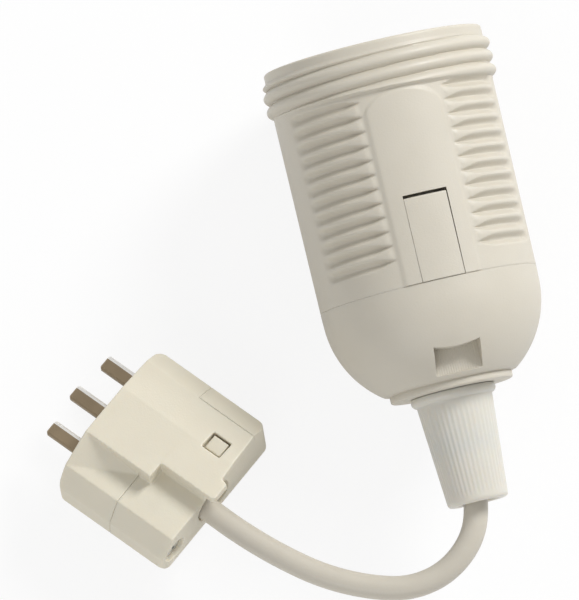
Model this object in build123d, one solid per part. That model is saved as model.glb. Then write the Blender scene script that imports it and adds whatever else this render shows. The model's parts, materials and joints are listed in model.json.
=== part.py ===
from build123d import *
import math
import os

# A pendant lamp holder: an E27 barrel with a thread, finger ribs and a latch, a dome cap with a cord-grip
# nut, and a short flex to a three-pin plug for a ceiling outlet. Millimetres, +Z up. It lies on its side, its
# axis along Y with the open end toward +Y, and the origin is under the middle of the holder.

# Holder lengths along its axis, measured from the middle of the holder
rim_h = 39.8
seam_h = -2.4
dome_bend_h = -4.5
dome_end_h = -18.9
flange_thick = 1.3
nut_end_h = -39.8

# Barrel
thread_depth = 0.95
thread_pitch = 2.5
thread_ridges = 3
thread_first = 3.4
thread_crest = 0.7
barrel_wall = 1.9
barrel_draft = 0.15
key_turn = 9.0
panel_half_angle = 22.0
panel_raise = 0.35
panel_shoulder_h = 26.6
panel_arch_rise = 4.6
rib_pitch = 2.5
rib_count = 12
rib_first_h = 29.9
rib_arc = 45.0
groove_depth = 0.95
groove_top = 2.0

# Latch
latch_wide = 7.5
latch_gap = 0.35
latch_top_h = 12.2
latch_thick = 1.5
latch_set_back = 0.25
latch_foot_drop = 3.0

# Dome
dome_bend_radius = 17.7
dome_runs = 9
flange_dia = 21.4
neck_dia = 10.0
neck_bore = 5.4
neck_end_h = -29.0
spigot_wall = 0.9
spigot_top_h = 2.0
spigot_gap = 0.3
ledge_wide = 1.55
cavity_end_h = -16.9
window_wide = 8.2
window_top_h = -12.6
window_foot_h = -18.2
window_floor = 11.9

# Insulating carrier and the screw shell in it
carrier_wall = 1.2
carrier_gap = 1.95
carrier_top_h = 24.5
carrier_disc_thick = 2.5
carrier_floor_h = 2.5
sleeve_sheet = 0.35
sleeve_minor_dia = 24.5
sleeve_depth = 1.1
sleeve_pitch = 3.629
sleeve_turns = 5
sleeve_gap = 0.3
sleeve_flange = 1.0
leaf_wide = 5.0
leaf_thick = 0.5
leaf_tip_h = 7.6
leaf_root_gap = 0.1
leaf_flat = 2.0
leaf_past_middle = 1.9
strip_wide = 3.0
strip_thick = 0.6
strip_inset = 1.65

# Terminals under the carrier
terminal_x = 7.2
terminal_wide = 5.0
terminal_deep = 6.0
terminal_tall = 6.5
terminal_bore = 2.2
terminal_end = 1.5
screw_dia = 2.5
screw_head_dia = 4.0
screw_head_tall = 1.2
core_dia = 1.8
core_bend = 3.0

# Cord-grip nut and the split ring in it
nut_collar_dia = 14.8
nut_collar_tall = 1.5
nut_top_dia = 13.2
nut_foot_dia = 10.6
nut_ribs = 44
nut_rib_deep = 0.28
nut_lip = 0.8
nut_gap = 0.1
nut_thread_gap = 0.35
nut_bore = 5.4
nut_mouth = 7.6
ring_gap = 0.3
ring_tall = 3.6
ring_slot = 0.8

# Flex
cord_dia = 4.2
cord_bore_gap = 0.3
cord_route = [
    (0.0, -19.4, 20.0),
    (0.1, -29.0, 20.0),
    (-0.05, -38.9, 20.0),
    (-2.1, -45.4, 19.9),
    (-7.6, -50.1, 19.6),
    (-14.4, -51.5, 19.2),
    (-21.3, -49.65, 18.7),
    (-28.7, -45.9, 18.0),
    (-35.5, -40.4, 16.6),
    (-41.1, -34.8, 14.9),
    (-45.3, -29.8, 13.4),
    (-49.4, -25.1, 12.0),
]

# Plug, in its own frame: X toward the cord, Y along the row of pins, Z up, origin under its rear face
plug_place = (-43.53, -29.75, 8.4)
plug_heading = -49.0
plug_pitch = 12.9
plug_roll = 13.0
plug_long = 23.4
plug_low_side = -14.9
plug_high_side = 14.4
plug_side_tall = 8.9
plug_strip_y = 11.0
plug_strip_z = 11.1
plug_ridge_y = 4.4
plug_ridge_z = 12.2
plug_top_z = 12.4
plug_edge = 0.6
plug_corner = 1.6
facet_low = (-14.5, 4.3)
facet_high = (-10.6, 11.2)
parting_x = -12.0
step_x = -9.3
tongue_front_y = -5.8
tongue_rear_y = -2.75
tongue_thick = 1.9
tongue_over = 2.15
tongue_side_over = 0.9
tongue_tab_y = 0.9
ledge_z = 9.0
plug_wall = 2.5
plug_rear_wall = 1.8
plug_floor = 1.6
cavity_low_y = -9.6
cavity_high_y = 12.4
cavity_top_z = 8.2
snap_x = -3.85
snap_y = 5.7
snap_long = 3.8
snap_wide = 3.45
snap_gap = 0.35
snap_set_back = 0.8
pin_pitch = 7.45
pin_row_y = 0.3
pin_z = 6.2
pin_wide = 2.8
pin_thick = 1.5
pin_long = 7.0
earth_pin_long = 7.9
pin_edge = 0.3
pin_gap = 0.05
pin_block_long = 6.2
pin_block_wide = 4.2
pin_block_foot = 2.0
pin_block_tall = 5.2
pin_core_up = 1.7
pin_screw_back = 0.8
pin_screw_deep = 2.4
pin_screw_head = 0.6
slot_wide = 0.5
slot_deep = 0.4
plug_cord_y = -2.5
plug_cord_z = 4.7
cord_mouth_y = -0.8
cord_mouth_z = 4.9
cord_mouth_dia = 8.2
cover_screw_y = -11.55
cover_screw_z = 3.9
cover_screw_hole = 4.7
cover_screw_head = 4.3
cover_screw_dia = 2.8
cover_screw_long = 18.0
cover_screw_sunk = 0.9
cover_screw_seat = 2.6
clamp_x = -5.2
clamp_long = 3.0
clamp_half_wide = 4.7
clamp_thick = 0.75
clamp_screw_y = 3.7
clamp_head_dia = 1.9
clamp_head_tall = 0.5

# Worked out from the values above
sleeve_major_r = sleeve_minor_dia / 2 + sleeve_depth + sleeve_sheet
carrier_bore_r = sleeve_major_r + sleeve_gap
carrier_r = carrier_bore_r + carrier_wall
bore_r = carrier_r + carrier_gap
barrel_r = bore_r + barrel_wall
thread_r = barrel_r + thread_depth
axis_z = thread_r
foot_r = barrel_r - barrel_draft
spigot_r = bore_r - spigot_gap
ledge_inner = spigot_r - spigot_wall - ledge_wide
strip_x = sleeve_minor_dia / 2 - strip_inset
neck_r = neck_dia / 2
flange_h = dome_end_h - flange_thick
notch_wide = latch_wide + 2 * latch_gap
carrier_foot_h = dome_bend_h + 0.1
carrier_disc_h = carrier_foot_h + carrier_disc_thick
plug_frame = (Pos(*plug_place) * Rot(0, 0, plug_heading) * Rot(0, -plug_pitch, 0) * Rot(-plug_roll, 0, 0))


def lay(shape):
    # Stands a piece, built upright with its mouth up, on its side
    return Pos(0, 0, axis_z) * Rot(-90, 0, 0) * shape


def keyed(shape, half_turn=0):
    # Turns a feature built toward -Y to the latch's direction, or opposite to it
    return Rot(0, 0, key_turn + half_turn) * shape


def turned(points, arc=360):
    # A solid of revolution about Z from (radius, height) points
    return revolve(Plane.XZ * make_face(Polyline(points, close=True)), Axis.Z, arc)


def tube(outer, inner, low, high):
    return turned([(inner, low), (outer, low), (outer, high), (inner, high)])


def block(x, y, z):
    # A box from three (low, high) pairs
    size = [b - a for a, b in (x, y, z)]
    mid = [(a + b) / 2 for a, b in (x, y, z)]
    return Pos(*mid) * Box(*size)


def rod(radius, low, high, x=0, y=0):
    return Pos(x, y, (low + high) / 2) * Cylinder(radius, high - low)


def rod_x(radius, low, high, y, z):
    return Pos((low + high) / 2, y, z) * Rot(0, 90, 0) * Cylinder(radius, high - low)


def prism_x(points, low, high):
    # Extrudes (y, z) points along X
    return extrude(Plane.YZ.offset(low) * make_face(Polyline(points, close=True)), high - low)


def wire(points, diameter, radii):
    path = FilletPolyline(*points, radius=radii)
    start = Plane(origin=path @ 0, z_dir=path % 0)
    return sweep(start * Circle(diameter / 2), path=path), path


def thread_profile(middle):
    # One ridge of the barrel's thread
    root = thread_pitch / 2 * 0.8
    crest = thread_crest / 2
    inside = barrel_r - 0.3
    return [
        (inside, middle - root), (barrel_r, middle - root), (thread_r, middle - crest),
        (thread_r, middle + crest), (barrel_r, middle + root), (inside, middle + root),
    ]


def panel():
    # The smooth arch-topped pad that carries the latch
    half = barrel_r * math.sin(math.radians(panel_half_angle))
    peak = panel_shoulder_h + panel_arch_rise
    outline = Polyline((-half, panel_shoulder_h), (-half, seam_h), (half, seam_h), (half, panel_shoulder_h))
    arch = ThreePointArc((half, panel_shoulder_h), (0, peak), (-half, panel_shoulder_h))
    column = extrude(Plane.XZ * make_face(outline + arch), barrel_r + 2)
    return column & tube(barrel_r + panel_raise, bore_r + 0.5, seam_h, peak + 1)


def rib_grooves():
    # One block of grooves that leave finger ribs between them
    clear = 0.6
    flare = groove_top / 2 * (1 + clear / groove_depth)
    outside = barrel_r + clear
    faces = []
    for k in range(rib_count):
        h = rib_first_h - k * rib_pitch
        corners = [(barrel_r - groove_depth, h), (outside, h - flare), (outside, h + flare)]
        faces.append(make_face(Polyline(corners, close=True)))
    return [revolve(Plane.XZ * face, Axis.Z, rib_arc) for face in faces]


def outer_shell():
    edge = 0.5
    body = turned([
        (bore_r, seam_h), (foot_r, seam_h), (barrel_r, rib_first_h), (barrel_r, rim_h - edge),
        (barrel_r - edge, rim_h), (bore_r + edge, rim_h), (bore_r, rim_h - edge),
    ])
    for k in range(thread_ridges):
        body += turned(thread_profile(rim_h - thread_first - k * thread_pitch))
    body += keyed(panel())
    body += keyed(panel(), 180)
    cutters = []
    for middle in (panel_half_angle + 1, 180 - panel_half_angle - rib_arc - 1):
        for side in (0, 180):
            for groove in rib_grooves():
                cutters.append(Rot(0, 0, -90 + key_turn + middle + side) * groove)
    body -= cutters
    notch = block(
        (-notch_wide / 2, notch_wide / 2), (-barrel_r - 2, 0), (seam_h - 1, latch_top_h + latch_gap),
    )
    return body - keyed(notch)


def release_latch():
    face_r = barrel_r + panel_raise - latch_set_back
    half = latch_wide / 2
    tongue = block((-half, half), (-face_r, -face_r + latch_thick), (seam_h + 0.1, latch_top_h))
    foot_outer = bore_r - 0.35
    foot_inner = spigot_r - spigot_wall
    foot = block((-half, half), (-foot_outer, -foot_inner), (seam_h - latch_foot_drop + 1.2, seam_h + 2.2))
    bridge = block((-half, half), (-face_r + 0.2, -foot_inner), (seam_h + 0.1, seam_h + 2.2))
    grip_high = latch_top_h - 0.9
    grip = block((-half + 1, half - 1), (-face_r - 0.12, -face_r + 0.2), (grip_high - 0.7, grip_high))
    return keyed(tongue + foot + bridge + grip)


def dome_arc():
    # The dome's outside down to its flange, as short straight runs
    start_r = foot_r - 0.05
    centre = start_r - dome_bend_radius
    last = math.acos((flange_dia / 2 + 1.0 - centre) / dome_bend_radius)
    points = []
    for k in range(dome_runs + 1):
        turn = last * k / dome_runs
        out, down = dome_bend_radius * math.cos(turn), dome_bend_radius * math.sin(turn)
        points.append((centre + out, dome_bend_h - down))
    return points


def dome_cap():
    neck_bore_r = neck_bore / 2
    flange_r = flange_dia / 2
    body = turned([(foot_r, seam_h)] + dome_arc() + [
        (flange_r, dome_end_h), (flange_r, flange_h), (neck_r, flange_h), (neck_r, neck_end_h),
        (neck_bore_r, neck_end_h), (neck_bore_r, cavity_end_h), (ledge_inner - 5.4, cavity_end_h),
        (ledge_inner - 1.4, cavity_end_h + 3.4), (ledge_inner, cavity_end_h + 8),
        (ledge_inner, carrier_foot_h),
        (spigot_r - spigot_wall, carrier_foot_h), (spigot_r - spigot_wall, spigot_top_h),
        (spigot_r, spigot_top_h), (spigot_r, seam_h),
    ])
    half = window_wide / 2
    backing = block(
        (-half - 1.4, half + 1.4), (-window_floor - 1, -window_floor + 1.5),
        (cavity_end_h - 0.5, window_top_h + 1.4),
    )
    window = block((-half, half), (-barrel_r - 2, -window_floor), (window_foot_h, window_top_h))
    slot = block(
        (-notch_wide / 2 - 0.4, notch_wide / 2 + 0.4), (-bore_r - 0.1, -spigot_r + spigot_wall + 1.2),
        (seam_h - latch_foot_drop + 0.9, spigot_top_h + 1),
    )
    return body + keyed(backing) - keyed(window) - keyed(slot)


def contact_carrier():
    bore_top = carrier_top_h + 1
    disc_r = spigot_r - spigot_wall - 0.3
    body = turned([
        (0, carrier_foot_h), (disc_r, carrier_foot_h), (disc_r, carrier_disc_h), (carrier_r, carrier_disc_h),
        (carrier_r, carrier_top_h), (carrier_bore_r, carrier_top_h), (carrier_bore_r, carrier_floor_h),
        (0, carrier_floor_h),
    ])
    slit = strip_wide / 2 + 0.1
    for side in (-1, 1):
        reach = (side * strip_x - strip_thick / 2 - 0.1, side * strip_x + strip_thick / 2 + 0.1)
        body -= block(reach, (-slit, slit), (carrier_foot_h - 1, bore_top))
    return body


def screw_shell():
    # The rolled E27 sleeve as waves, with an inward flange at its foot
    step = sleeve_pitch / 2
    minor_r = sleeve_minor_dia / 2
    foot = foot_of_sleeve()
    inner = []
    for k in range(2 * sleeve_turns + 1):
        inner.append((minor_r + k % 2 * sleeve_depth, foot + sleeve_sheet + k * step))
    outer = [(r + sleeve_sheet, h) for r, h in reversed(inner)]
    flange = minor_r - sleeve_flange
    ends = [(minor_r + sleeve_sheet, foot), (flange, foot), (flange, foot + sleeve_sheet)]
    return turned(inner + outer + ends)


def foot_of_sleeve():
    # The sleeve stands on the head of the neutral strip
    return carrier_floor_h + strip_thick


def centre_contact():
    # A leaf, fixed at its root beside the middle, that rises to the lamp's centre contact
    half = leaf_wide / 2
    root = strip_x - strip_thick / 2 - leaf_root_gap
    floor = carrier_floor_h
    tip = -leaf_past_middle
    outline = [
        (root, floor), (root, floor + leaf_thick), (root - leaf_flat - 0.2, floor + leaf_thick),
        (tip + 3.2, leaf_tip_h + leaf_thick), (tip, leaf_tip_h + leaf_thick - 0.5), (tip, leaf_tip_h - 0.5),
        (tip + 3.0, leaf_tip_h), (root - leaf_flat, floor),
    ]
    return extrude(Plane.XZ * make_face(Polyline(outline, close=True)), half, both=True)


def strip(side, top, inward):
    # A brass strip down through the carrier to its terminal
    half = strip_wide / 2
    upright = block(
        (side * strip_x - strip_thick / 2, side * strip_x + strip_thick / 2), (-half, half),
        (carrier_foot_h - strip_thick, top),
    )
    low = sorted((side * (strip_x + strip_thick / 2), side * (terminal_x - 2)))
    foot = block(low, (-half, half), (carrier_foot_h - strip_thick, carrier_foot_h))
    high = sorted((side * (strip_x + strip_thick / 2), side * inward))
    head = block(high, (-half, half), (top - strip_thick, top))
    return upright + foot + head


def terminal(side):
    top = carrier_foot_h - strip_thick
    body = block(
        (side * terminal_x - terminal_wide / 2, side * terminal_x + terminal_wide / 2),
        (-terminal_deep / 2, terminal_deep / 2), (top - terminal_tall, top),
    )
    body -= rod(terminal_bore / 2, top - terminal_tall - 1, top - terminal_end, side * terminal_x)
    across = Pos(side * terminal_x, terminal_deep / 2, top - terminal_tall / 2) * Rot(90, 0, 0)
    return body - across * Cylinder(screw_dia / 2 + 0.05, terminal_deep)


def terminal_screws():
    screws = []
    for side in (-1, 1):
        mid = carrier_foot_h - strip_thick - terminal_tall / 2
        place = Pos(side * terminal_x, terminal_deep / 2, mid) * Rot(-90, 0, 0)
        head = rod(screw_head_dia / 2, 0, screw_head_tall)
        slot_foot = screw_head_tall - 0.6
        slot = block((-screw_head_dia, screw_head_dia), (-0.3, 0.3), (slot_foot, screw_head_tall + 1))
        screws.append(place * (head + rod(screw_dia / 2, -1.7, 0.2) - slot))
    return Compound(children=screws)


def holder_core(side):
    # A core from the end of the sheath to its terminal
    high = carrier_foot_h - strip_thick - terminal_tall + 2.0
    start = (side * 1.0, 0, neck_start() + 0.02)
    points = [start, (side * 1.0, 0, cavity_end_h + 0.6), (side * terminal_x, 0, high - 3.6),
              (side * terminal_x, 0, high)]
    return wire(points, core_dia, [core_bend / 2, core_bend / 2])[0]


def neck_start():
    # Where the cord's sheath ends in the neck
    return cord_route[0][1]


def cord_grip_nut():
    top = flange_h - nut_gap
    collar = top - nut_collar_tall
    lip_h = nut_end_h + nut_lip
    taper = (nut_top_dia - nut_foot_dia) / 2
    faces = []
    for h, dia in ((lip_h, nut_foot_dia), (collar, nut_top_dia)):
        corners = []
        for k in range(2 * nut_ribs):
            radius = dia / 2 - nut_rib_deep * (k % 2)
            turn = math.pi * k / nut_ribs
            corners.append((radius * math.cos(turn), radius * math.sin(turn)))
        faces.append(Plane.XY.offset(h) * make_face(Polyline(corners, close=True)))
    cone = loft(faces, ruled=True)
    foot_r = nut_foot_dia / 2
    lip = turned([(0, nut_end_h), (foot_r - nut_lip, nut_end_h), (foot_r - 0.15, lip_h - 0.2),
                  (foot_r - 0.15, lip_h), (0, lip_h)])
    head_r = nut_collar_dia / 2
    head = turned([(0, collar), (head_r - 0.5, collar), (head_r, collar + 0.5), (head_r, top), (0, top)])
    inner_r = neck_r + nut_thread_gap
    shoulder = neck_end_h - ring_tall - ring_gap
    bore = turned([
        (0, nut_end_h - 0.01), (nut_mouth / 2, nut_end_h - 0.01), (nut_bore / 2, shoulder - 1.2),
        (inner_r - taper, shoulder), (inner_r, shoulder + 2.4), (inner_r, top + 1), (0, top + 1),
    ])
    return cone + lip + head - bore


def grip_ring():
    # A split ring that the nut squeezes onto the cord
    outer = neck_r + nut_thread_gap - (nut_top_dia - nut_foot_dia) / 2 - ring_gap
    inner = cord_dia / 2 + cord_bore_gap
    high = neck_end_h - ring_gap
    low = high - ring_tall + ring_gap
    head = outer + 1.1
    body = turned([(inner, low), (outer, low), (head, high - 0.8), (head, high), (inner, high)])
    return body - block((0, 3 * outer), (-ring_slot / 2, ring_slot / 2), (low - 1, high + 1))


def corner_radii(route):
    # Each arc is as large as its two runs allow
    radii = []
    for before, here, after in zip(route, route[1:], route[2:]):
        come = Vector(*here) - Vector(*before)
        go = Vector(*after) - Vector(*here)
        half_turn = math.radians(come.get_angle(go)) / 2
        radii.append(0.45 * min(come.length, go.length) / math.tan(half_turn))
    return radii


def flex_cord():
    radii = corner_radii(cord_route)
    solid, path = wire(cord_route, cord_dia, radii)
    print("cord length", round(path.length, 2))
    return solid


def plug_section():
    return [
        (plug_low_side + plug_edge, 0), (plug_high_side - plug_edge, 0), (plug_high_side, plug_edge),
        (plug_high_side, plug_side_tall), (plug_strip_y, plug_strip_z), (plug_ridge_y, plug_ridge_z),
        (tongue_front_y, plug_top_z), facet_high, facet_low, (plug_low_side, plug_edge),
    ]


def ramp():
    # The slope in front of the scoop, from the top plate's edge down to the facet
    rise = (ledge_z - facet_low[1]) / (facet_high[1] - facet_low[1])
    foot_y = facet_low[0] + rise * (facet_high[0] - facet_low[0])
    corners = [(foot_y, ledge_z), (tongue_front_y, ledge_z), (tongue_front_y, plug_top_z)]
    front = Plane.YZ.offset(-plug_long) * make_face(Polyline(corners, close=True))
    return loft([front.face(), Vertex(parting_x, tongue_front_y, ledge_z)], ruled=True)


def scoop(wall_y, start, end):
    # What is cut away above the ledge along a straight wall
    return block((start, end), (plug_low_side - 1, wall_y), (ledge_z, plug_top_z + 1))


def plug_outside():
    # The whole plug's outer form up to its rear face, without the tongue's overhang
    mid_y = (plug_low_side + plug_high_side) / 2
    body = prism_x(plug_section(), -plug_long, 0)
    plan = RectangleRounded(plug_long, plug_high_side - plug_low_side, plug_corner)
    body &= Pos(-plug_long / 2, mid_y, -1) * extrude(plan, plug_top_z + 4)
    body = body - scoop(tongue_front_y, -plug_long - 1, step_x) - scoop(tongue_rear_y, step_x, 1)
    return body + ramp()


def tongue():
    # The top plate of the front half that reaches over the rear half
    def slab(low_y, start, end):
        return prism_x([
            (low_y, plug_top_z - tongue_thick), (plug_ridge_y, plug_ridge_z - tongue_thick),
            (plug_strip_y, plug_strip_z - tongue_thick), (plug_strip_y, plug_strip_z),
            (plug_ridge_y, plug_ridge_z), (low_y, plug_top_z),
        ], start, end)
    plate = slab(tongue_front_y, parting_x, step_x) + slab(tongue_rear_y, step_x, tongue_over)
    outline = Polyline([
        (parting_x - 1, tongue_front_y - 1), (step_x, tongue_front_y - 1),
        (tongue_over - 0.5, tongue_rear_y - 0.01), (tongue_over, tongue_rear_y + 0.5),
        (tongue_over, tongue_tab_y), (tongue_side_over, tongue_tab_y + 0.3),
        (0.1, plug_strip_y), (parting_x - 1, plug_strip_y),
    ], close=True)
    plate &= extrude(make_face(outline), plug_top_z + 2)
    return plate


def plug_cavity():
    length = (-plug_long + plug_wall, -plug_rear_wall)
    return block(length, (cavity_low_y, cavity_high_y), (plug_floor, cavity_top_z))


def pin_places():
    return {
        "plug_pin_live": (pin_row_y - pin_pitch, pin_long),
        "plug_pin_earth": (pin_row_y, earth_pin_long),
        "plug_pin_neutral": (pin_row_y + pin_pitch, pin_long),
    }


def snap_window(shrink):
    half_x = snap_long / 2 - shrink
    half_y = snap_wide / 2 - shrink
    top = plug_top_z + 1 if shrink == 0 else plug_ridge_z - snap_set_back
    return block(
        (snap_x - half_x, snap_x + half_x), (snap_y - half_y, snap_y + half_y),
        (plug_strip_z - tongue_thick - 1.2, top),
    )


def plug_reach():
    return (plug_low_side - 1, plug_high_side + 1), (-1, plug_top_z + 1)


def plug_body():
    front = plug_outside() & block((-plug_long - 1, parting_x), *plug_reach())
    body = front - plug_cavity() + tongue() - snap_window(0)
    for y, _ in pin_places().values():
        body -= block(
            (-plug_long - 1, -plug_long + plug_wall + 1),
            (y - pin_wide / 2 - pin_gap, y + pin_wide / 2 + pin_gap),
            (pin_z - pin_thick / 2 - pin_gap, pin_z + pin_thick / 2 + pin_gap),
        )
    end = max(-cover_screw_seat - cover_screw_long - 0.3, -plug_long + 1)
    return body - rod_x(cover_screw_dia / 2 + 0.02, end, 1, cover_screw_y, cover_screw_z)


def plug_cover():
    rear = plug_outside() & block((parting_x, 1), *plug_reach())
    body = rear - plug_cavity() - tongue() + snap_window(snap_gap)
    body -= rod_x(cord_mouth_dia / 2, -plug_rear_wall - 1, 1, cord_mouth_y, cord_mouth_z)
    body -= rod_x(cover_screw_hole / 2, -cover_screw_seat, 1, cover_screw_y, cover_screw_z)
    body -= rod_x(cover_screw_dia / 2 + 0.1, parting_x - 1, 1, cover_screw_y, cover_screw_z)
    for side in (-1, 1):
        y = plug_cord_y + side * clamp_screw_y
        length = (clamp_x - clamp_long / 2, clamp_x + clamp_long / 2)
        post = block(length, (y - 0.95, y + 0.95), (plug_floor, clamp_foot_z()))
        body += post - rod(0.55, clamp_foot_z() - 2.5, clamp_foot_z() + 1, clamp_x, y)
    return body


def clamp_foot_z():
    return plug_cord_z + cord_dia / 2 + 0.05


def plug_pin(y, length):
    half = pin_wide / 2
    middle = -plug_long - length / 2 + plug_wall / 2
    blade = Pos(middle, y, pin_z) * Box(length + plug_wall, pin_wide, pin_thick)
    blade = chamfer(blade.edges().filter_by(Axis.X), pin_edge)
    blade = chamfer(blade.faces().sort_by(Axis.X)[0].edges(), pin_edge * 0.9)
    start = -plug_long + plug_wall
    body = blade + block(
        (start, start + pin_block_long), (y - pin_block_wide / 2, y + pin_block_wide / 2),
        (pin_block_foot, pin_block_foot + pin_block_tall),
    )
    mid = start + pin_block_long / 2
    core_z = pin_block_foot + pin_core_up
    body -= rod_x(core_dia / 2 + 0.15, mid, start + pin_block_long + 1, y, core_z)
    top = pin_block_foot + pin_block_tall
    return body - rod(screw_dia / 2 + 0.05, core_z, top + 1, mid + pin_screw_back, y)


def plug_terminal_screws():
    start = -plug_long + plug_wall
    top = pin_block_foot + pin_block_tall
    screws = []
    for y, _ in pin_places().values():
        x = start + pin_block_long / 2 + pin_screw_back
        head = top + pin_screw_head
        screw = rod(screw_dia / 2, top - pin_screw_deep, head, x, y)
        across = (y - slot_wide / 2, y + slot_wide / 2)
        slot = block((x - screw_dia, x + screw_dia), across, (head - slot_deep, head + 1))
        screws.append(screw - slot)
    return Compound(children=screws)


def plug_cover_screw():
    head_low = -cover_screw_seat
    head_high = -cover_screw_sunk
    y, z = cover_screw_y, cover_screw_z
    screw = rod_x(cover_screw_head / 2, head_low, head_high, y, z)
    screw += rod_x(cover_screw_dia / 2, head_low - cover_screw_long, head_low, y, z)
    for turn in (20, 110):
        arm = block((-0.9, 0.1), (-1.5, 1.5), (-0.28, 0.28))
        screw -= Pos(head_high, y, z) * Rot(turn, 0, 0) * arm
    return screw


def plug_cord_clamp():
    foot = clamp_foot_z()
    y = plug_cord_y
    bar = block(
        (clamp_x - clamp_long / 2, clamp_x + clamp_long / 2), (y - clamp_half_wide, y + clamp_half_wide),
        (foot, foot + clamp_thick),
    )
    for side in (-1, 1):
        bar -= rod(0.6, foot - 1, foot + 2, clamp_x, y + side * clamp_screw_y)
    return bar


def plug_clamp_screws():
    foot = clamp_foot_z()
    top = foot + clamp_thick
    screws = []
    for side in (-1, 1):
        y = plug_cord_y + side * clamp_screw_y
        head = rod(clamp_head_dia / 2, top, top + clamp_head_tall, clamp_x, y)
        screws.append(rod(0.5, foot - 2.3, top, clamp_x, y) + head)
    return Compound(children=screws)


def plug_core(y_end, side):
    # A core from the cord's end in the plug to a pin's terminal
    end_x = -plug_long + plug_wall + pin_block_long - 2.0
    start_x = cord_end_x() - 0.1
    z = pin_block_foot + pin_core_up
    first = (start_x, plug_cord_y + side * 1.0, plug_cord_z)
    second = (start_x - 2.2, plug_cord_y + side * 1.1, plug_cord_z)
    return wire([first, second, (end_x + 3.6, y_end, z), (end_x, y_end, z)], core_dia, [0.9, 0.9])[0]


def cord_end_x():
    # Where the cord ends in the plug's own frame
    local = plug_frame.inverse() * Pos(*cord_route[-1])
    return local.position.X


def holder_pieces():
    sleeve_top = foot_of_sleeve()
    return {
        "outer_shell": outer_shell(),
        "release_latch": release_latch(),
        "dome_cap": dome_cap(),
        "contact_carrier": contact_carrier(),
        "screw_shell": screw_shell(),
        "centre_contact": centre_contact(),
        "live_strip": strip(1, carrier_floor_h + leaf_thick, strip_x),
        "neutral_strip": strip(-1, sleeve_top, strip_x + 1.2),
        "live_terminal": terminal(1),
        "neutral_terminal": terminal(-1),
        "terminal_screws": terminal_screws(),
        "holder_live_core": holder_core(1),
        "holder_neutral_core": holder_core(-1),
        "cord_grip_nut": cord_grip_nut(),
        "grip_ring": grip_ring(),
    }


def plug_pieces():
    pieces = {"plug_body": plug_body(), "plug_cover": plug_cover()}
    for name, (y, length) in pin_places().items():
        pieces[name] = plug_pin(y, length)
    pieces["plug_terminal_screws"] = plug_terminal_screws()
    pieces["plug_cover_screw"] = plug_cover_screw()
    pieces["plug_cord_clamp"] = plug_cord_clamp()
    pieces["plug_clamp_screws"] = plug_clamp_screws()
    pieces["plug_live_core"] = plug_core(pin_row_y - pin_pitch, -1)
    pieces["plug_neutral_core"] = plug_core(pin_row_y + pin_pitch, 1)
    return pieces


os.makedirs("parts", exist_ok=True)
nodes = {name: lay(shape) for name, shape in holder_pieces().items()}
nodes.update({name: plug_frame * shape for name, shape in plug_pieces().items()})
nodes["flex_cord"] = flex_cord()
for name, shape in nodes.items():
    export_step(shape, "parts/" + name + ".step")
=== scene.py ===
import json
import math
import bpy
import bmesh
from mathutils import Matrix, Vector


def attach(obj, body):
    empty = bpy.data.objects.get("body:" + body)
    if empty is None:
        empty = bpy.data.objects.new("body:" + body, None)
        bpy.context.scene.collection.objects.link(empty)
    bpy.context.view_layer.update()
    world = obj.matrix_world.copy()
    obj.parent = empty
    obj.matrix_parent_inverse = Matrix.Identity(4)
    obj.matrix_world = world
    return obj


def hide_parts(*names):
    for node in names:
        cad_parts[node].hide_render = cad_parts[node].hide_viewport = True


# A pendant lamp holder on a short flex with a three-pin plug. The holder's axis lies along Y, its mouth
# toward +Y. Lengths are in mm unless a comment says metres, and MM makes metres of them.
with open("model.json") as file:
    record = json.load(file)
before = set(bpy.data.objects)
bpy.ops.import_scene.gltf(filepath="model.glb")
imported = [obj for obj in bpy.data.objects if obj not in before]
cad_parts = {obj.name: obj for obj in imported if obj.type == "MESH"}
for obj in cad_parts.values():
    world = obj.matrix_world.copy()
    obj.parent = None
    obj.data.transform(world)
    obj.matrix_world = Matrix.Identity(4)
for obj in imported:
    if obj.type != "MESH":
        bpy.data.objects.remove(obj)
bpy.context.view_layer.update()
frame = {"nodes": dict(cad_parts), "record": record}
nodes = frame["nodes"]
scene = bpy.context.scene
MM = 0.001
AXIS_Z = 20.0

# Camera: almost straight down, from a little behind the holder, turned so that the holder leans left
DIST = 2.6  # metres from AIM, the middle of the picture
AIM = Vector((-0.02349, 0.001363, 0.020))
TILT = math.radians(4.3)
ROLL = math.radians(13.25)
PX_PER_M = 5852.0
PICTURE_TALL = 600
SENSOR_TALL = 36.0

level_right = Vector((1, 0, 0))
level_up = Vector((0, math.cos(TILT), math.sin(TILT)))
back = Vector((0, -math.sin(TILT), math.cos(TILT)))
right = math.cos(ROLL) * level_right - math.sin(ROLL) * level_up
up = math.sin(ROLL) * level_right + math.cos(ROLL) * level_up
cam_data = bpy.data.cameras.new("camera")
cam_data.sensor_fit = "VERTICAL"
cam_data.sensor_height = SENSOR_TALL
cam_data.lens = PX_PER_M * DIST * SENSOR_TALL / PICTURE_TALL
cam_data.clip_end = 20
cam = bpy.data.objects.new("camera", cam_data)
turn = Matrix((right, up, back)).transposed().to_4x4()
cam.matrix_world = Matrix.Translation(AIM + back * DIST) @ turn
scene.collection.objects.link(cam)
scene.camera = cam

# Flex: the route has the same points as in the part
ROUTE = [
    (0.0, -19.4, 20.0), (0.1, -29.0, 20.0), (-0.05, -38.9, 20.0), (-2.1, -45.4, 19.9), (-7.6, -50.1, 19.6),
    (-14.4, -51.5, 19.2), (-21.3, -49.65, 18.7), (-28.7, -45.9, 18.0), (-35.5, -40.4, 16.6),
    (-41.1, -34.8, 14.9), (-45.3, -29.8, 13.4), (-49.4, -25.1, 12.0),
]
CORD_R = 0.0021  # metres
PINS = [nodes["plug_pin_" + which] for which in ("live", "earth", "neutral")]

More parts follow.
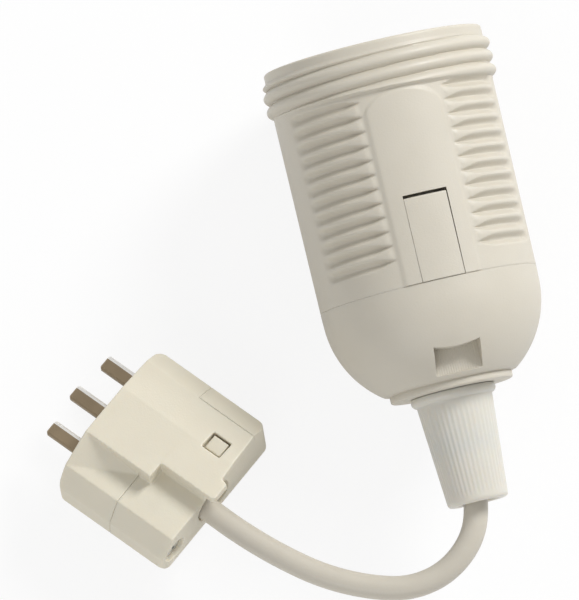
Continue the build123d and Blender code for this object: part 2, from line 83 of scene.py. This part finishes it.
curve = bpy.data.curves.new("flex", "CURVE")
curve.dimensions = "3D"
spline = curve.splines.new("NURBS")
spline.points.add(len(ROUTE) - 1)
for point, place in zip(spline.points, ROUTE):
    point.co = (*(c * MM for c in place), 1)
    point.radius = CORD_R
spline.order_u = 3
spline.use_endpoint_u = True
spline.resolution_u = 24
# The bevel is 1 m times each point's radius. With a radius of 1, the curve's bounding box would be 2 m wide.
curve.bevel_depth = 1.0
curve.bevel_resolution = 8
curve.use_fill_caps = True
flex = bpy.data.objects.new("flex", curve)
scene.collection.objects.link(flex)
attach(flex, "holder")
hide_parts("flex_cord")


# Materials
def add_node(tree, kind, **values):
    # A new shader node, with inputs set by name, where _ stands for a space
    node = tree.nodes.new("ShaderNode" + kind)
    for name, value in values.items():
        node.inputs[name.replace("_", " ")].default_value = value
    return node


def add_mix(tree, factor, a, b):
    # A colour mix; a and b are each a colour or the output that brings one
    mix = tree.nodes.new("ShaderNodeMix")
    mix.data_type = "RGBA"
    tree.links.new(factor, mix.inputs["Factor"])
    for name, term in (("A", a), ("B", b)):
        if isinstance(term, tuple):
            mix.inputs[name].default_value = (*term, 1)
        else:
            tree.links.new(term, mix.inputs[name])
    return mix.outputs["Result"]


def add_maths(tree, operation, *terms):
    # A maths node; each term is a number or the output that brings one
    node = tree.nodes.new("ShaderNodeMath")
    node.operation = operation
    for socket, term in zip(node.inputs, terms):
        if isinstance(term, float):
            socket.default_value = term
        else:
            tree.links.new(term, socket)
    return node.outputs[0]


def shade(name, base, rough, grain, mottle, grain_size=0.0003, metal=0.0, sss=0.0):
    # A principled material with slow changes of tone and a fine moulded or plated grain, its size in metres
    m = bpy.data.materials.new(name)
    m.use_nodes = True
    tree = m.node_tree
    p = tree.nodes["Principled BSDF"]
    p.inputs["Base Color"].default_value = (*base, 1)
    p.inputs["Roughness"].default_value = rough
    p.inputs["Metallic"].default_value = metal
    if sss:
        p.inputs["Subsurface Weight"].default_value = sss
        p.inputs["Subsurface Radius"].default_value = (0.0022, 0.0018, 0.0013)
        p.inputs["Subsurface Scale"].default_value = 1.0
    co = add_node(tree, "TexCoord").outputs["Object"]
    tone = add_node(tree, "TexNoise", Scale=160, Detail=5)
    tree.links.new(co, tone.inputs["Vector"])
    dark = tuple(c * (1 - mottle) for c in base)
    light = tuple(min(1, c * (1 + mottle)) for c in base)
    tree.links.new(add_mix(tree, tone.outputs["Fac"], dark, light), p.inputs["Base Color"])
    spread = add_node(tree, "MapRange", From_Min=0.3, From_Max=0.7, To_Min=rough - 0.05, To_Max=rough + 0.05)
    tree.links.new(tone.outputs["Fac"], spread.inputs["Value"])
    tree.links.new(spread.outputs["Result"], p.inputs["Roughness"])
    fine = add_node(tree, "TexNoise", Scale=1 / grain_size, Detail=3)
    tree.links.new(co, fine.inputs["Vector"])
    bump = add_node(tree, "Bump", Strength=grain, Distance=grain_size * 0.25)
    tree.links.new(fine.outputs["Fac"], bump.inputs["Height"])
    tree.links.new(bump.outputs["Normal"], p.inputs["Normal"])
    return m


SLOTS = {name: shade(name, **look) for name, look in {
    "holder_plastic": dict(base=(0.61, 0.57, 0.485), rough=0.46, grain=0.35, mottle=0.03, sss=0.12),
    "nut_plastic": dict(base=(0.68, 0.655, 0.59), rough=0.36, grain=0.2, mottle=0.02, sss=0.6),
    "plug_plastic": dict(base=(0.735, 0.685, 0.56), rough=0.44, grain=0.3, mottle=0.03, sss=0.2),
    "carrier_plastic": dict(base=(0.68, 0.64, 0.56), rough=0.55, grain=0.4, mottle=0.04),
    "cord_pvc": dict(base=(0.59, 0.55, 0.47), rough=0.40, grain=0.25, grain_size=0.0005, mottle=0.04,
                     sss=0.1),
    "shell_metal": dict(base=(0.80, 0.76, 0.62), rough=0.28, metal=1.0, grain=0.1, mottle=0.05),
    "contact_brass": dict(base=(0.83, 0.62, 0.28), rough=0.3, metal=1.0, grain=0.1, mottle=0.06),
    "pin_nickel": dict(base=(0.34, 0.265, 0.175), rough=0.42, metal=1.0, grain=0.5, grain_size=0.0002,
                       mottle=0.16),
    "screw_steel": dict(base=(0.62, 0.62, 0.60), rough=0.35, metal=1.0, grain=0.15, mottle=0.05),
    "screw_zinc": dict(base=(0.72, 0.74, 0.74), rough=0.34, metal=1.0, grain=0.3, grain_size=0.0002,
                       mottle=0.12),
    "core_brown": dict(base=(0.16, 0.06, 0.03), rough=0.4, grain=0.1, mottle=0.05),
    "core_blue": dict(base=(0.03, 0.09, 0.30), rough=0.4, grain=0.1, mottle=0.05),
}.items()}

# A painted highlight: a bright strip along each pin's edge toward the upper right of the picture, the side
# that the key lamp lights. It is measured from the furthest point of the pin's node, which is on the wider
# block inside the plug.
PIN_ROW = Vector((0.755, 0.656, 0.0))
STRIP_REACH = 0.0014  # metres
PAINTED_HIGHLIGHT = (0.95, 0.93, 0.89)


def paint_pin_highlights(m):
    tree = m.node_tree
    colour = tree.nodes["Principled BSDF"].inputs["Base Color"]
    dull = colour.links[0].from_socket
    across = add_node(tree, "VectorMath")
    across.operation = "DOT_PRODUCT"
    across.inputs[1].default_value = PIN_ROW
    tree.links.new(add_node(tree, "TexCoord").outputs["Object"], across.inputs[0])
    highlight_mask = 0.0
    for pin in PINS:
        far = max(v.co.dot(PIN_ROW) for v in pin.data.vertices)
        pin_highlight = add_maths(tree, "COMPARE", across.outputs["Value"], far, STRIP_REACH)
        highlight_mask = add_maths(tree, "MAXIMUM", highlight_mask, pin_highlight)
    # The pins' colour with the painted highlight strip mixed in
    tree.links.new(add_mix(tree, highlight_mask, dull, PAINTED_HIGHLIGHT), colour)


# Painted highlight on the pins' edges toward the key lamp
paint_pin_highlights(SLOTS["pin_nickel"])
flex.data.materials.append(SLOTS["cord_pvc"])
for part in frame["record"]["subparts"]:
    node = nodes[part["node"]]
    node.data.materials.clear()
    node.data.materials.append(SLOTS[part["material_slot"]])

# Mesh helpers. Features on the latch's side are made around x = 0, in mm, and KEYED turns them by the key
# angle about the holder's axis.
KEY = 9.0
KEYED = Matrix.Translation((0, 0, AXIS_Z * MM)) @ Matrix.Rotation(math.radians(KEY), 4, "Y")
KEYED = KEYED @ Matrix.Scale(MM, 4)


def on_holder(a, r, h):
    # The point at radius r and height h along the holder's axis; angle a goes from straight up toward +X
    t = math.radians(a)
    return Vector((r * math.sin(t), h, AXIS_Z + r * math.cos(t))) * MM


def ease(x, low, high):
    t = min(1, max(0, (x - low) / (high - low)))
    return t * t * (3 - 2 * t)


def arc(r, h, radius, angles):
    # Profile points round a centre, at angles from the +r direction toward +h
    return [(r + radius * math.cos(math.radians(t)), h + radius * math.sin(math.radians(t))) for t in angles]


def mesh_of(bm, name):
    bmesh.ops.recalc_face_normals(bm, faces=bm.faces)
    mesh = bpy.data.meshes.new(name)
    bm.to_mesh(mesh)
    bm.free()
    return mesh


def turned_mesh(name, profile, columns):
    # A closed ring of profile points at each angle; profile(a) gives (r, h) pairs in mm, always as many
    bm = bmesh.new()
    angles = [360.0 * k / columns for k in range(columns)]
    rings = [[bm.verts.new(on_holder(a, r, h)) for r, h in profile(a)] for a in angles]
    for k in range(columns):
        one, two = rings[k], rings[(k + 1) % columns]
        for i in range(len(one)):
            j = (i + 1) % len(one)
            bm.faces.new((one[i], one[j], two[j], two[i]))
    return mesh_of(bm, name)


def keyed_box(name, low, high, cuts, shape):
    # A closed box with some cuts along x, whose points a function moves, turned by the key angle
    bm = bmesh.new()
    corners = [(low[1], low[2]), (high[1], low[2]), (high[1], high[2]), (low[1], high[2])]
    places = [low[0] + (high[0] - low[0]) * i / cuts for i in range(cuts + 1)]
    rings = [[bm.verts.new(shape(Vector((x, y, z)))) for y, z in corners] for x in places]
    bm.faces.new(rings[0])
    bm.faces.new(rings[-1])
    for one, two in zip(rings, rings[1:]):
        for i in range(4):
            j = (i + 1) % 4
            bm.faces.new((one[i], one[j], two[j], two[i]))
    mesh = mesh_of(bm, name)
    mesh.transform(KEYED)
    return mesh


def cut(mesh, cutter):
    # The mesh without what the other one covers
    a = bpy.data.objects.new("cut_a", mesh)
    b = bpy.data.objects.new("cut_b", cutter)
    scene.collection.objects.link(a)
    scene.collection.objects.link(b)
    mod = a.modifiers.new("cut", "BOOLEAN")
    mod.operation = "DIFFERENCE"
    mod.solver = "EXACT"
    mod.object = b
    graph = bpy.context.evaluated_depsgraph_get()
    graph.update()
    out = bpy.data.meshes.new_from_object(a.evaluated_get(graph))
    bpy.data.objects.remove(a)
    bpy.data.objects.remove(b)
    return out


def soften(ob, width, segments):
    mod = ob.modifiers.new("edges", "BEVEL")
    mod.width = width * MM
    mod.segments = segments
    mod.limit_method = "ANGLE"
    mod.angle_limit = math.radians(28)
    mod.harden_normals = False


def add_piece(name, mesh, body, slot, replaced, sharp=32):
    # A piece in place of a CAD node, smooth where its faces turn by less than the sharp angle
    ob = bpy.data.objects.new(name, mesh)
    scene.collection.objects.link(ob)
    mesh.materials.append(SLOTS[slot])
    mesh.shade_smooth()
    mesh.set_sharp_from_angle(angle=math.radians(sharp))
    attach(ob, body)
    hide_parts(replaced)
    return ob


# Barrel. Here w is the distance down from the rim, and d the angle from the nearer panel's middle.
RIM, SEAM = 39.8, -2.4
BASE_R, BORE_R = 19.05, 17.15
DRAFT = 0.15
BARREL_ROWS = 235
LIP_OUT, LIP_IN = 0.45, 0.5
THREAD_DEEP, THREAD_PITCH, THREAD_HALF_WIDE = 0.95, 2.4, 1.12
THREAD_FIRST, THREAD_LAST, THREAD_LAST_SWING = 3.65, 8.3, 0.7
RIB_TOP, RIB_PITCH, RIB_LAST = 29.9, 2.5, 11
RIB_FOOT = RIB_TOP - RIB_LAST * RIB_PITCH
RIB_FROM, RIB_TO = 21.5, 71
RIB_SUNK, RIB_RAISED = 0.85, 0.25
PANEL_HALF_ANGLE, PANEL_SHOULDER, PANEL_ARCH, PANEL_RISE = 22.0, 26.6, 4.6, 0.24
NOTCH_TOP = 12.72


def side_angle(a):
    d = (a - KEY) % 180
    return min(d, 180 - d)


def thread_rise(a, h):
    # Ridges that climb one pitch in a turn, begin below the rim and fade out further down
    w = RIM - h
    turns = (a if a < 180 else a - 360) / 360
    level = (w - THREAD_FIRST + THREAD_PITCH * turns) / THREAD_PITCH
    off = (level - round(level)) * THREAD_PITCH
    crest = max(0, 1 - (abs(off) / THREAD_HALF_WIDE) ** 2) ** 0.85
    last = THREAD_LAST + THREAD_LAST_SWING * math.sin(math.radians(a))
    fade = ease(w, 1.5, 2.6) * (1 - ease(w, last - 0.1, last + 0.5))
    return THREAD_DEEP * crest * fade


def rib_form(a, h):
    # Rounded bars with valleys between them, in four blocks beside the panels. A valley is narrow and shallow
    # at its end by the panel, and fades out at the other end.
    d = side_angle(a)
    half = RIB_PITCH / 2
    if not (RIB_FOOT - half < h < RIB_TOP + half and RIB_FROM < d < RIB_TO):
        return 0.0
    along = (d - RIB_FROM) * math.pi / 180 * BASE_R
    lane = min(RIB_LAST, max(0, round((RIB_TOP - h) / RIB_PITCH)))
    off = abs(RIB_TOP - h - lane * RIB_PITCH)
    wide = 0.25 + 0.85 * ease(along, 0.0, 4.5)
    deep = (0.25 + 0.75 * ease(along, 0.0, 3.0)) * (1 - ease(d, 63.0, 69.5)) * ease(along, 0.0, 0.8)
    valley = math.cos(math.pi / 2 * min(1, off / wide)) ** 1.6
    inside = RIB_FOOT < h < RIB_TOP
    raised = RIB_RAISED * ease(along, 0.2, 1.3) * (1 - ease(d, 55.0, 66.0)) if inside else 0.0
    crest = math.sin(math.pi / 2 * min(1, off / half)) ** 1.2
    return raised * crest - RIB_SUNK * deep * valley


def panel_rise(a, h):
    # A panel with an arched top and soft edges
    x = BASE_R * math.sin(math.radians(min(side_angle(a), 89)))
    half = BASE_R * math.sin(math.radians(PANEL_HALF_ANGLE))
    arch = PANEL_SHOULDER + PANEL_ARCH * math.sqrt(max(0, 1 - (x / half) ** 2)) if x < half else 0
    side = 1 - ease(x, half - 1.0, half + 0.05)
    over = 1 - ease(h, arch - 0.8, arch + 0.05) if x < half + 0.05 else 0
    return PANEL_RISE * side * over


def barrel_profile(a):
    low, high = SEAM + 0.12, RIM - LIP_OUT
    rows = [(BASE_R - DRAFT - 0.07, SEAM)]
    for i in range(BARREL_ROWS + 1):
        h = low + (high - low) * i / BARREL_ROWS
        draft = DRAFT * min(1, max(0, (RIB_TOP - h) / (RIB_TOP - SEAM)))
        proud, ribs = max(thread_rise(a, h), panel_rise(a, h)), rib_form(a, h)
        rows.append((BASE_R - draft + (proud + ribs if ribs < 0 else max(proud, ribs)), h))
    rows += arc(BASE_R - LIP_OUT, RIM - LIP_OUT, LIP_OUT, (30, 60, 90))
    rows += arc(BORE_R + LIP_IN, RIM - LIP_IN, LIP_IN, (90, 135, 180))
    return rows + [(BORE_R, RIM - 6), (BORE_R, 20), (BORE_R, 8), (BORE_R, SEAM)]


def notch_shape(p):
    # The slot widens a little toward its upper right corner
    if p.x > 0:
        p.x += 0.12 * max(0, p.y - SEAM) / 15
    return p


notch = keyed_box("notch", (-3.80, SEAM - 1, 10), (3.82, NOTCH_TOP, 22), 1, notch_shape)
add_piece("barrel", cut(turned_mesh("barrel", barrel_profile, 480), notch), "holder", "holder_plastic",
          "outer_shell")

# Dome with its flange and neck. Its wall is thicker inside by the window, which is cut deep.
DOME_R, DOME_BEND_R, DOME_BEND_H, DOME_END_R = 18.85, 17.7, -4.5, 12.0
DOME_ROWS = 32
WINDOW_HALF_WIDE, WINDOW_FLOOR, WINDOW_TOP, WINDOW_SAG = 4.1, 11.9, -13.35, 0.50
DRAW_LINE_DEEP, DRAW_LINE_PITCH = 0.02, 0.42


def dome_profile(a):
    middle_r = DOME_R - DOME_BEND_R
    near = 1 - ease(abs((a - KEY + 180) % 360 - 180), 28, 36)
    last = math.acos((DOME_END_R - middle_r) / DOME_BEND_R)
    rows = [(18.83, SEAM - 0.01), (18.9, SEAM - 0.08), (18.9, -3.3), (DOME_R, DOME_BEND_H)]
    for i in range(1, DOME_ROWS + 1):
        t = last * i / DOME_ROWS
        rows.append((middle_r + DOME_BEND_R * math.cos(t), DOME_BEND_H - DOME_BEND_R * math.sin(t)))
    flange = [(11.6, -18.75), (11.1, -18.86), (10.75, -18.9), (10.62, -19.0), (10.7, -19.15), (10.7, -19.9),
              (10.6, -20.1), (10.4, -20.2)]
    neck = [(5.0, -20.2), (5.0, -29.0), (2.7, -29.0), (2.7, -16.9)]
    inside = [(9.0, -16.9), (13.0 - 2.7 * near, -13.5), (13.7 - 3.4 * near, -11.3), (14.4, -8.9)]
    ledge = [(14.4, -4.4), (15.95, -4.4)]
    spigot = [(15.95, 1.85), (16.1, 2.0), (16.7, 2.0), (16.85, 1.85), (16.85, SEAM - 0.02)]
    return rows + flange + neck + inside + ledge + spigot


def window_shape(p):
    # The window's upper edge sags in the middle, and its floor has fine draw lines
    if p.y > -13:
        p.y = WINDOW_TOP - WINDOW_SAG * math.cos(p.x * math.pi / (2 * WINDOW_HALF_WIDE))
    if p.z < 15:
        p.z += DRAW_LINE_DEEP * math.sin(p.x * 2 * math.pi / DRAW_LINE_PITCH)
    return p


window = keyed_box("window", (-WINDOW_HALF_WIDE, -18.15, WINDOW_FLOOR), (WINDOW_HALF_WIDE, -12.6, 22), 184,
                   window_shape)
add_piece("dome", cut(turned_mesh("dome", dome_profile, 288), window), "holder", "holder_plastic", "dome_cap")

# Release latch: a tongue whose face follows the barrel, with a foot that hooks into the dome
LATCH_WIDE, LATCH_FACE_R, LATCH_CUTS = 7.5, 19.14, 16


def latch_mesh():
    bm = bmesh.new()
    columns = []
    for k in range(LATCH_CUTS + 1):
        x = -LATCH_WIDE / 2 + LATCH_WIDE * k / LATCH_CUTS
        face = math.sqrt(LATCH_FACE_R ** 2 - x * x)
        outline = [(-2.36, face), (12.02, face), (12.2, face - 0.18), (12.2, 17.2), (-0.2, 17.2),
                   (-0.2, 15.95), (-4.2, 15.95), (-4.2, 16.8), (-2.36, 16.8)]
        columns.append([bm.verts.new((x, h, z)) for h, z in outline])
    bm.faces.new(columns[0])
    bm.faces.new(list(reversed(columns[-1])))
    for one, two in zip(columns, columns[1:]):
        for i in range(len(one)):
            j = (i + 1) % len(one)
            bm.faces.new((one[i], two[i], two[j], one[j]))
    mesh = mesh_of(bm, "latch")
    mesh.transform(KEYED)
    return mesh


latch = add_piece("latch", latch_mesh(), "latch", "holder_plastic", "release_latch")
soften(latch, 0.10, 2)

# Cord-grip nut: a collar, a cone with fine ribs and a smooth rounded lip
NUT_RIBS, NUT_RIB_DEEP = 44, 0.09
CONE_FROM, CONE_TO, CONE_ROWS = -22.0, -39.0, 40


def nut_profile(a):
    wave = 0.5 - 0.5 * math.cos(math.radians(a * NUT_RIBS))
    rows = [(5.35, -20.3), (7.3, -20.3), (7.4, -20.42), (7.4, -21.1), (7.3, -21.4), (6.95, -21.78),
            (6.66, -21.9)]
    for i in range(CONE_ROWS + 1):
        h = CONE_FROM + (CONE_TO - CONE_FROM) * i / CONE_ROWS
        r = 6.60 + (5.32 - 6.60) * (h + 21.8) / (CONE_TO + 21.8)
        fade = ease(-h, 22.2, 23.2) * (1 - ease(-h, 37.9, 38.7))
        rows.append((r - NUT_RIB_DEEP * wave * fade, h))
    rows += arc(4.62, -39.12, 0.68, (-20, -40, -60, -80))
    mouth = [(4.5, -39.8), (4.0, -39.8), (3.72, -39.7), (3.55, -39.4)]
    bore = [(2.7, -34.1), (4.05, -32.9), (5.35, -30.5)]
    return rows + mouth + bore


add_piece("nut", turned_mesh("nut", nut_profile, NUT_RIBS * 8), "nut", "nut_plastic", "cord_grip_nut",
          sharp=50)

# Screw shell: a thin rolled sheet with the lamp's thread
SHEET = 0.35
SHELL_R, SHELL_LOW, SHELL_HIGH, SHELL_ROWS = 12.25, 3.1, 21.6, 120
LAMP_PITCH, LAMP_DEEP = 3.629, 1.1


def shell_profile(a):
    rows_in, rows_out = [], []
    for i in range(SHELL_ROWS + 1):
        h = SHELL_LOW + (SHELL_HIGH - SHELL_LOW) * i / SHELL_ROWS
        wave = 0.5 - 0.5 * math.cos(2 * math.pi * ((h - SHELL_LOW) / LAMP_PITCH + (a / 360)))
        fade = ease(h, SHELL_LOW, SHELL_LOW + 0.8) * (1 - 0.6 * ease(h, SHELL_HIGH - 0.6, SHELL_HIGH))
        r = SHELL_R + LAMP_DEEP * wave * fade
        rows_in.append((r, h))
        rows_out.append((r + SHEET, h))
    foot = [(12.6, SHELL_LOW), (11.25, SHELL_LOW), (11.25, 3.4), (12.0, 3.4)]
    return rows_in + list(reversed(rows_out)) + foot


add_piece("shell", turned_mesh("shell", shell_profile, 120), "holder", "shell_metal", "screw_shell")

# The plug's halves and pins keep their shapes, with soft moulded edges
MOULD_GRID = 0.00016  # metres
for name in ("plug_body", "plug_cover"):
    grid = nodes[name].modifiers.new("moulded", "REMESH")
    grid.mode = "VOXEL"
    grid.voxel_size = MOULD_GRID
    grid.use_smooth_shade = True
    round_off = nodes[name].modifiers.new("round_off", "SMOOTH")
    round_off.factor = 0.5
    round_off.iterations = 2
for node in [*PINS, nodes["plug_cover_screw"]]:
    soften(node, 0.06, 1)

# Floor: pale, and brighter to the camera than to the object, as in a cut-out picture
FLOOR_WIDE, FLOOR_DROP, FLOOR_GLOW = 6, 0.00005, 0.86  # metres, metres and share
bpy.ops.mesh.primitive_plane_add(size=FLOOR_WIDE, location=(0, 0, -FLOOR_DROP))
floor = bpy.context.object
floor.name = "floor"
floor_look = bpy.data.materials.new("floor")
floor_look.use_nodes = True
tree = floor_look.node_tree
paint = tree.nodes["Principled BSDF"]
paint.inputs["Base Color"].default_value = (0.93, 0.93, 0.93, 1)
paint.inputs["Roughness"].default_value = 0.9
paint.inputs["Specular IOR Level"].default_value = 0.1
seen = add_node(tree, "LightPath").outputs["Is Camera Ray"]
mix = add_node(tree, "MixShader")
tree.links.new(add_maths(tree, "MULTIPLY", seen, FLOOR_GLOW), mix.inputs["Fac"])
tree.links.new(paint.outputs[0], mix.inputs[1])
tree.links.new(add_node(tree, "Emission").outputs[0], mix.inputs[2])
tree.links.new(mix.outputs[0], tree.nodes["Material Output"].inputs["Surface"])
floor.data.materials.append(floor_look)

# World: white to the camera, dimmer as light
world = bpy.data.worlds.new("world")
scene.world = world
world.use_nodes = True
tree = world.node_tree
ambient = tree.nodes["Background"]
ambient.inputs["Color"].default_value = (1, 1, 1, 1)
ambient.inputs["Strength"].default_value = 0.47
white = add_node(tree, "Background", Color=(1, 1, 1, 1), Strength=1.0)
mix = add_node(tree, "MixShader")
tree.links.new(add_node(tree, "LightPath").outputs["Is Camera Ray"], mix.inputs["Fac"])
tree.links.new(ambient.outputs[0], mix.inputs[1])
tree.links.new(white.outputs[0], mix.inputs[2])
tree.links.new(mix.outputs[0], tree.nodes["World Output"].inputs["Surface"])


def lamp(name, place, size, power):
    # A round soft lamp that faces the object; place and size are in metres
    data = bpy.data.lights.new(name, "AREA")
    data.shape = "DISK"
    data.size = size
    data.energy = power
    ob = bpy.data.objects.new(name, data)
    ob.location = place
    ob.rotation_euler = (Vector((0, 0, 0.02)) - Vector(place)).to_track_quat("-Z", "Y").to_euler()
    scene.collection.objects.link(ob)


lamp("key", (0.72, 0.54, 0.64), 0.40, 9.4)
lamp("fill", (-0.55, -0.75, 0.70), 0.8, 3.2)

scene.view_settings.view_transform = "Standard"
